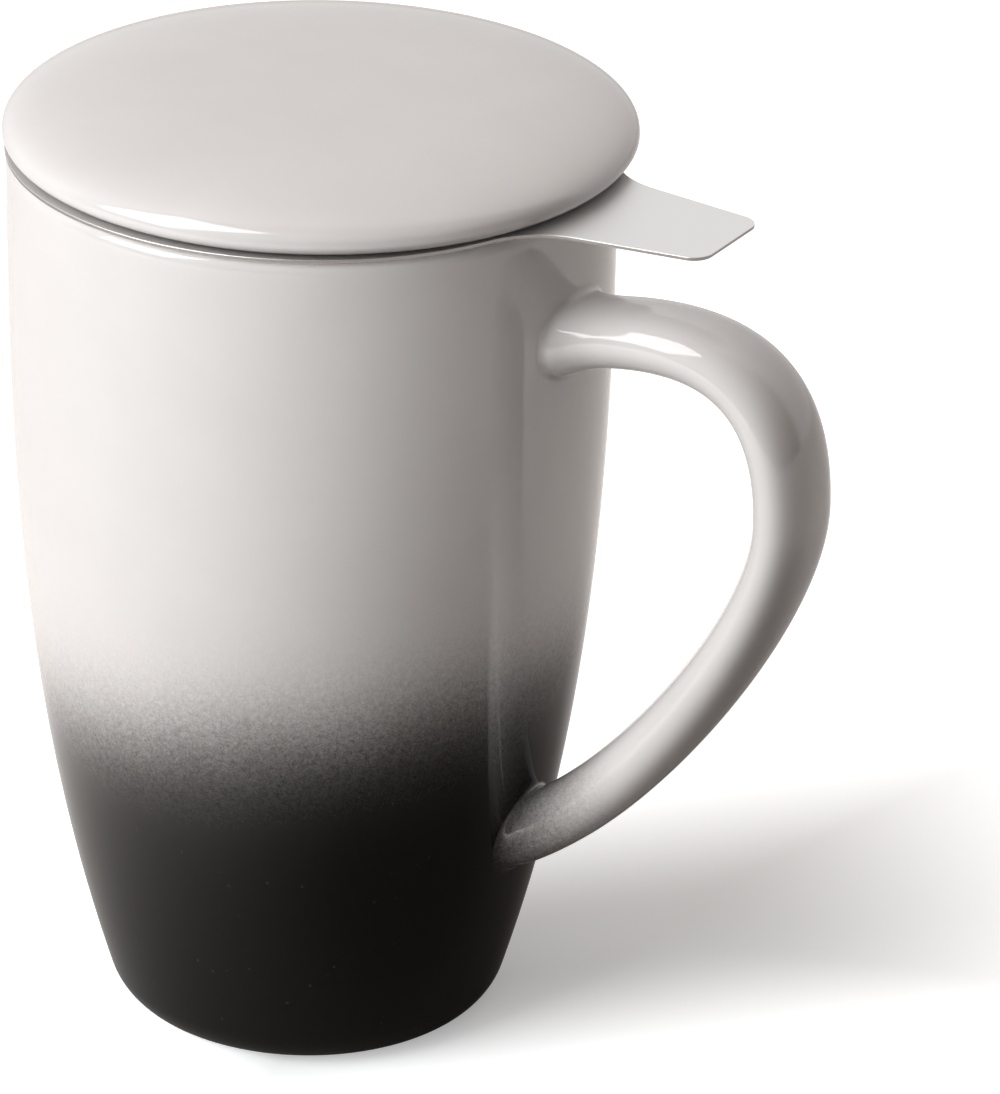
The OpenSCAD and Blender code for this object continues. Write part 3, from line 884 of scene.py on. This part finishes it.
class TEAMUG_OT_basket(Operator):
    """Roll the infuser's perforated wall"""
    bl_idname = "teamug.basket"
    bl_label = "Infuser wall"

    def execute(self, context):
        settings = context.scene.tea_mug
        sizes = settings.infuser
        columns = int(math.tau * sizes.basket_r / sizes.hole_pitch)
        tile_w = math.tau / columns
        row_h = sizes.hole_pitch * HEX_ROW
        rows = int((sizes.collar_z - sizes.basket_floor - 2 * sizes.hole_margin) / row_h)
        low = (sizes.collar_z + sizes.basket_floor - rows * row_h) / 2
        radii = (sizes.basket_r, sizes.basket_r - sizes.sheet_t)
        hole_r = sizes.hole_d / 2
        mesh = bmesh.new()
        known = {}

        def plate_vertex(layer, quarter, half):
            key = (layer, quarter % (4 * columns), half)
            if key not in known:
                known[key] = mesh.verts.new(polar(radii[layer], key[1] * tile_w / 4, low + half * row_h / 2))
            return known[key]

        for row in range(rows):
            for column in range(columns):
                first = 4 * column + 2 * (row % 2)
                rims = []
                for layer in range(2):
                    edge = [plate_vertex(layer, first + round(4 * u), 2 * row + round(2 * v))
                            for u, v in TILE]
                    hole = []
                    for u, v in TILE:
                        a = math.atan2((v - 0.5) * row_h, (u - 0.5) * sizes.hole_pitch)
                        around = (first / 4 + 0.5) * tile_w + hole_r * math.cos(a) / radii[0]
                        height = low + (row + 0.5) * row_h + hole_r * math.sin(a)
                        hole.append(mesh.verts.new(polar(radii[layer], around, height)))
                    span(mesh, edge, hole)
                    rims.append(hole)
                span(mesh, *rims)
        top_half = 2 * rows
        quarters = range(4 * columns)
        edges = []
        for layer in range(2):
            for half, height in ((0, sizes.basket_floor), (top_half, sizes.collar_z)):
                rim = [mesh.verts.new(polar(radii[layer], k * tile_w / 4, height)) for k in quarters]
                span(mesh, [plate_vertex(layer, k, half) for k in quarters], rim)
                edges.append(rim)
        span(mesh, edges[0], edges[2])
        span(mesh, edges[1], edges[3])
        bmesh.ops.rotate(mesh, verts=mesh.verts, matrix=Matrix.Rotation(sizes.turn, 3, "Z"))
        satin = shared_material("satin_steel", satin_steel, settings.steel)
        piece = finish_piece(mesh, "basket_wall", [satin])
        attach(piece, "infuser")
        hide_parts("infuser_wall")
        return {"FINISHED"}


class TEAMUG_OT_basket_floor(Operator):
    """Punch the infuser's floor and roll its seam"""
    bl_idname = "teamug.basket_floor"
    bl_label = "Infuser floor"

    rim_steps = 128
    hole_steps = 12
    seam_steps = 12
    nearest = 1e-7

    def execute(self, context):
        settings = context.scene.tea_mug
        sizes = settings.infuser
        inner_r = sizes.basket_r - sizes.sheet_t
        plate_r = inner_r - sizes.seam_h
        pitch = sizes.hole_pitch
        row_h = pitch * HEX_ROW
        reach = int(plate_r / row_h) + 1
        middles = []
        for row in range(-reach, reach + 1):
            for column in range(-reach, reach + 1):
                middle = Vector(((column + row % 2 / 2) * pitch, row * row_h))
                if middle.length < inner_r - sizes.hole_margin:
                    middles.append(middle)
        rings = [(Vector((0, 0)), plate_r, self.rim_steps)]
        rings += [(middle, sizes.hole_d / 2, self.hole_steps) for middle in middles]
        points = []
        edges = []
        for middle, radius, steps in rings:
            first = len(points)
            for k in range(steps):
                a = math.tau * k / steps
                points.append(middle + radius * Vector((math.cos(a), math.sin(a))))
                edges.append((first + k, first + (k + 1) % steps))
        flat = delaunay_2d_cdt(points, edges, [], 1, self.nearest)
        spots_2d, faces = flat[0], flat[2]
        if len(spots_2d) != len(points):
            raise RuntimeError("the floor's holes run into each other")
        holes_from = self.rim_steps
        mesh = bmesh.new()
        top = sizes.basket_floor
        layers = [[mesh.verts.new((p.x, p.y, z)) for p in spots_2d] for z in (top, top - sizes.sheet_t)]
        for face in faces:
            hole_numbers = {(i - holes_from) // self.hole_steps if i >= holes_from else -1 for i in face}
            if len(hole_numbers) == 1 and -1 not in hole_numbers:
                continue
            for layer in layers:
                mesh.faces.new([layer[i] for i in face])
        for hole in range(len(middles)):
            first = holes_from + hole * self.hole_steps
            span(mesh, layers[0][first:first + self.hole_steps], layers[1][first:first + self.hole_steps])
        seam = [(inner_r - sizes.sheet_t, top - sizes.seam_h)]
        for i in range(self.seam_steps + 1):
            a = math.radians(90 * i / self.seam_steps)
            seam.append((sizes.basket_r + sizes.seam_w * math.sin(a), top - sizes.seam_h * math.cos(a)))
        loops = [layers[1][:holes_from]]
        for radius, height in seam:
            loops.append([mesh.verts.new(polar(radius, math.tau * k / self.rim_steps, height))
                          for k in range(self.rim_steps)])
        loops.append(layers[0][:holes_from])
        span_all(mesh, loops)
        bmesh.ops.rotate(mesh, verts=mesh.verts, matrix=Matrix.Rotation(sizes.turn, 3, "Z"))
        satin = shared_material("satin_steel", satin_steel, settings.steel)
        piece = finish_piece(mesh, "basket_base", [satin])
        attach(piece, "infuser")
        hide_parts("infuser_floor")
        return {"FINISHED"}


# Lid

def lid_outline(sizes):
    """Outline of the lid from the middle of its underside to the middle of its top, with its seat at zero."""
    crown = sizes.top_h - sizes.edge_h
    recess = sizes.top_h - sizes.middle_t
    ring_in = sizes.ring_out - sizes.ring_w
    fillet = sizes.ring_round
    outline = [(0, recess)] + arc((ring_in - fillet, recess - fillet), fillet, 90, 0, steps=6)
    outline += arc((ring_in + fillet, fillet - sizes.ring_h), fillet, 180, 270, steps=8)
    outline += arc((sizes.ring_out - fillet, fillet - sizes.ring_h), fillet, 270, 360, steps=8)
    outline.append((sizes.ring_out, 0))
    seat_end = len(outline)
    under_steps = 12
    for i in range(under_steps):
        a = math.radians(90 * i / under_steps)
        outline.append((sizes.radius - sizes.under_w * (1 - math.sin(a)), sizes.under_h * (1 - math.cos(a))))
    edge_steps = 64
    for i in range(edge_steps):
        a = math.radians(90 * i / edge_steps)
        r = sizes.radius - sizes.edge_w * (1 - math.cos(a) ** (2 / sizes.square))
        rise = (sizes.edge_h - sizes.under_h) * math.sin(a) ** (2 / sizes.square)
        outline.append((r, sizes.under_h + rise + crown * (1 - (r / sizes.radius) ** 2)))
    crown_steps = 8
    for i in range(crown_steps + 1):
        r = (sizes.radius - sizes.edge_w) * (1 - i / crown_steps)
        outline.append((r, sizes.edge_h + crown * (1 - (r / sizes.radius) ** 2)))
    return outline, seat_end


class TEAMUG_OT_lid(Operator):
    """Turn the lid and glaze it"""
    bl_idname = "teamug.lid"
    bl_label = "Lid"

    def execute(self, context):
        settings = context.scene.tea_mug
        outline, seat_end = lid_outline(settings.lid)
        middle = (LID_BOX[0] + LID_BOX[1]) / 2
        mesh, loops = lathe(outline, middle.xy, settings.infuser.seat_z)
        glazed, bare = range(2)
        finishes = [bare if i == seat_end - 1 else glazed for i in range(len(outline) - 1)]
        span_all(mesh, loops, finishes)
        materials = [shared_material("pale_glaze", plain_glaze, settings.glaze),
                     shared_material("bare_clay", bare_clay, settings.glaze)]
        piece = finish_piece(mesh, "domed_lid", materials)
        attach(piece, "lid")
        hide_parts("lid")
        return {"FINISHED"}


# Stage

def table_material(look):
    """A pale matt table, white to the camera outside a band of partly painted shadow; gloss shows a dim spot
    in front.
    """
    material, tree, shader, place = new_material("table", Roughness=0.9, Specular_IOR_Level=0.0)
    path = add_node(tree, "ShaderNodeLightPath")
    glossy = path.outputs["Is Glossy Ray"]
    clear = calc(tree, "MAXIMUM", path.outputs["Is Camera Ray"], path.outputs["Is Transmission Ray"])
    # Painted reflection: gloss sees the table dim in a spot in front of the mug, which darkens what the black
    # glaze and the steel reflect.
    dim_spot = polar(look.dim_away, look.camera_side - math.pi / 2 + look.dim_side, 0)
    graded = remap(tree, measure(tree, "DISTANCE", place, dim_spot), look.dim_from, look.dim_to)
    # Painted shadow: the white that the camera sees added to the table is held back near the mug and along a
    # band where the shadow falls, so the shadow there is partly cast and partly painted.
    off_mug = remap(tree, measure(tree, "DISTANCE", place, (0, 0, 0)), look.glow_from, look.glow_to)
    shadow_turn = look.camera_side + math.pi / 2 - look.shadow_side
    aside = measure(tree, "DOT_PRODUCT", place, polar(1, shadow_turn - math.pi / 2, 0))
    off_line = calc(tree, "ABSOLUTE", calc(tree, "SUBTRACT", aside, look.shadow_shift))
    beside = remap(tree, off_line, look.shadow_from, look.shadow_to)
    ahead = measure(tree, "DOT_PRODUCT", place, polar(1, shadow_turn, 0))
    lit = remap(tree, ahead, -look.shadow_to / 2, 0.0, 1.0, 0.0)
    open_share = calc(tree, "MAXIMUM", off_mug, calc(tree, "MAXIMUM", beside, lit))
    lift = remap(tree, open_share, 0.0, 1.0, look.table_lift, look.table_glow, "LINEAR")
    in_gloss = calc(tree, "MULTIPLY", calc(tree, "MULTIPLY", graded, glossy), look.table_gloss)
    shown = calc(tree, "MAXIMUM", clear, in_gloss)
    # Painted bounce light: for rays that are not the camera's, the table's colour is bright in a lit patch
    # beside the mug on the lamp's side and fades towards the dim colour away from it.
    lit_spot = polar(-look.bounce_away, shadow_turn, 0)
    off_spot = measure(tree, "DISTANCE", place, lit_spot)
    far = remap(tree, off_spot, look.bounce_from, look.bounce_to, 0.0, look.bounce_dim)
    dim = remap(tree, glossy, 0.0, 1.0, far, calc(tree, "SUBTRACT", 1.0, graded), "LINEAR")
    bounced = blend_colours(tree, dim, look.table_bounce, look.table_dim)
    tree.links.new(blend_colours(tree, clear, bounced, look.table), shader.inputs["Base Color"])
    shader.inputs["Emission Color"].default_value = (1, 1, 1, 1)
    tree.links.new(calc(tree, "MULTIPLY", shown, lift), shader.inputs["Emission Strength"])
    return material


def light_the_room(scene, look):
    """White for the camera, a white sweep behind the mug for gloss, and a soft warm room for the rest."""
    world = bpy.data.worlds.new("studio")
    world.use_nodes = True
    tree = world.node_tree
    tree.nodes.clear()
    path = add_node(tree, "ShaderNodeLightPath")
    way = add_node(tree, "ShaderNodeTexCoord").outputs["Generated"]
    behind = polar(1, look.camera_side + math.pi / 2, 0)
    facing = measure(tree, "DOT_PRODUCT", way, behind)
    sweep = remap(tree, facing, look.sweep_from, look.sweep_to, look.room_dim, 1.0)
    clear = calc(tree, "MAXIMUM", path.outputs["Is Camera Ray"], path.outputs["Is Transmission Ray"])
    level = calc(tree, "MAXIMUM", sweep, clear)
    shown = calc(tree, "MAXIMUM", clear, path.outputs["Is Glossy Ray"])
    lean = behind * math.sin(look.room_lean) + UP * math.cos(look.room_lean)
    overhead = remap(tree, measure(tree, "DOT_PRODUCT", way, lean), 0.0, 1.0, easing="LINEAR")
    room = add_node(tree, "ShaderNodeBackground", {"Color": (*look.room, 1), "Strength": overhead})
    seen = add_node(tree, "ShaderNodeBackground", {"Color": (1, 1, 1, 1), "Strength": level})
    both = add_node(tree, "ShaderNodeMixShader", {0: shown, 1: room.outputs[0], 2: seen.outputs[0]})
    add_node(tree, "ShaderNodeOutputWorld", {0: both.outputs[0]})
    scene.world = world


def aim(thing, place, way, up):
    """Sets a lamp or camera at a place, looking along way."""
    back = -way.normalized()
    right = up.cross(back).normalized()
    turned = Matrix((right, back.cross(right), back)).transposed().to_4x4()
    thing.matrix_world = Matrix.Translation(place) @ turned


class TEAMUG_OT_stage(Operator):
    """Set up the table, the room, the soft boxes and the camera"""
    bl_idname = "teamug.stage"
    bl_label = "Stage"

    def execute(self, context):
        scene = context.scene
        look = scene.tea_mug.stage
        self.lay_table(look)
        light_the_room(scene, look)
        key = self.hang_soft_box(scene, look, "key", look.key_side, look.key_rise)
        key.data.size = look.key_width
        key.data.size_y = look.key_height
        key.data.energy = look.key_power
        key.visible_glossy = False
        shine = self.hang_soft_box(scene, look, "shine", look.shine_side, look.shine_rise)
        shine.data.size = look.shine_width
        shine.data.size_y = look.shine_height
        shine.data.energy = look.shine_power
        shine.visible_diffuse = False
        self.set_camera(scene, look)
        scene.view_settings.view_transform = "Standard"
        return {"FINISHED"}

    def lay_table(self, look):
        """A wide flat table, its top at the mug's foot."""
        reach = 3.0
        data = bpy.data.meshes.new("table")
        corners = [(-reach, -reach, 0), (reach, -reach, 0), (reach, reach, 0), (-reach, reach, 0)]
        data.from_pydata(corners, [], [(0, 1, 2, 3)])
        data.materials.append(table_material(look))
        table = bpy.data.objects.new("table", data)
        bpy.context.scene.collection.objects.link(table)

    def hang_soft_box(self, scene, look, name, side, rise):
        """A soft box at the camera's left, turned to the mug."""
        data = bpy.data.lights.new(name, "AREA")
        data.shape = "RECTANGLE"
        lamp = bpy.data.objects.new(name, data)
        scene.collection.objects.link(lamp)
        target = Vector((0, 0, MUG_BOX[1].z / 2))
        way = polar(math.cos(rise), look.camera_side - math.pi / 2 - side, math.sin(rise))
        aim(lamp, target + look.key_away * way, -way, UP)
        return lamp

    def set_camera(self, scene, look):
        """The camera at the photograph's place and angle."""
        data = bpy.data.cameras.new("camera")
        data.sensor_width = FILM_MM
        data.lens = look.camera_lens
        camera = bpy.data.objects.new("camera", data)
        scene.collection.objects.link(camera)
        round_axis = Matrix.Rotation(look.camera_side, 3, "Z")
        place = round_axis @ Vector((0, -look.camera_away, look.camera_z))
        level = math.cos(look.camera_pitch)
        way = Vector((math.sin(look.camera_pan) * level, math.cos(look.camera_pan) * level,
                      -math.sin(look.camera_pitch)))
        up = Matrix.Rotation(-look.camera_roll, 3, way) @ UP
        aim(camera, place, round_axis @ way, round_axis @ up)
        scene.camera = camera


# Panel and registration

PIECES = (TEAMUG_OT_mug, TEAMUG_OT_handle, TEAMUG_OT_flange, TEAMUG_OT_basket, TEAMUG_OT_basket_floor,
          TEAMUG_OT_lid, TEAMUG_OT_stage)


class TEAMUG_PT_panel(Panel):
    """Lists the pieces of the tea mug"""
    bl_label = "Tea Mug"
    bl_idname = "TEAMUG_PT_panel"
    bl_space_type = "VIEW_3D"
    bl_region_type = "UI"
    bl_category = "Tea Mug"

    def draw(self, context):
        for piece in PIECES:
            self.layout.operator(piece.bl_idname)


CLASSES = (MugSizes, HandleSizes, InfuserSizes, LidSizes, GlazeLook, SteelLook, StageLook, TeaMugSettings,
           *PIECES, TEAMUG_PT_panel)


def register():
    for item in CLASSES:
        bpy.utils.register_class(item)
    bpy.types.Scene.tea_mug = PointerProperty(type=TeaMugSettings)


def unregister():
    del bpy.types.Scene.tea_mug
    for item in reversed(CLASSES):
        bpy.utils.unregister_class(item)


def main():
    register()
    bpy.ops.teamug.mug()
    bpy.ops.teamug.handle()
    bpy.ops.teamug.flange()
    bpy.ops.teamug.basket()
    bpy.ops.teamug.basket_floor()
    bpy.ops.teamug.lid()
    bpy.ops.teamug.stage()


if __name__ == "__main__":
    main()
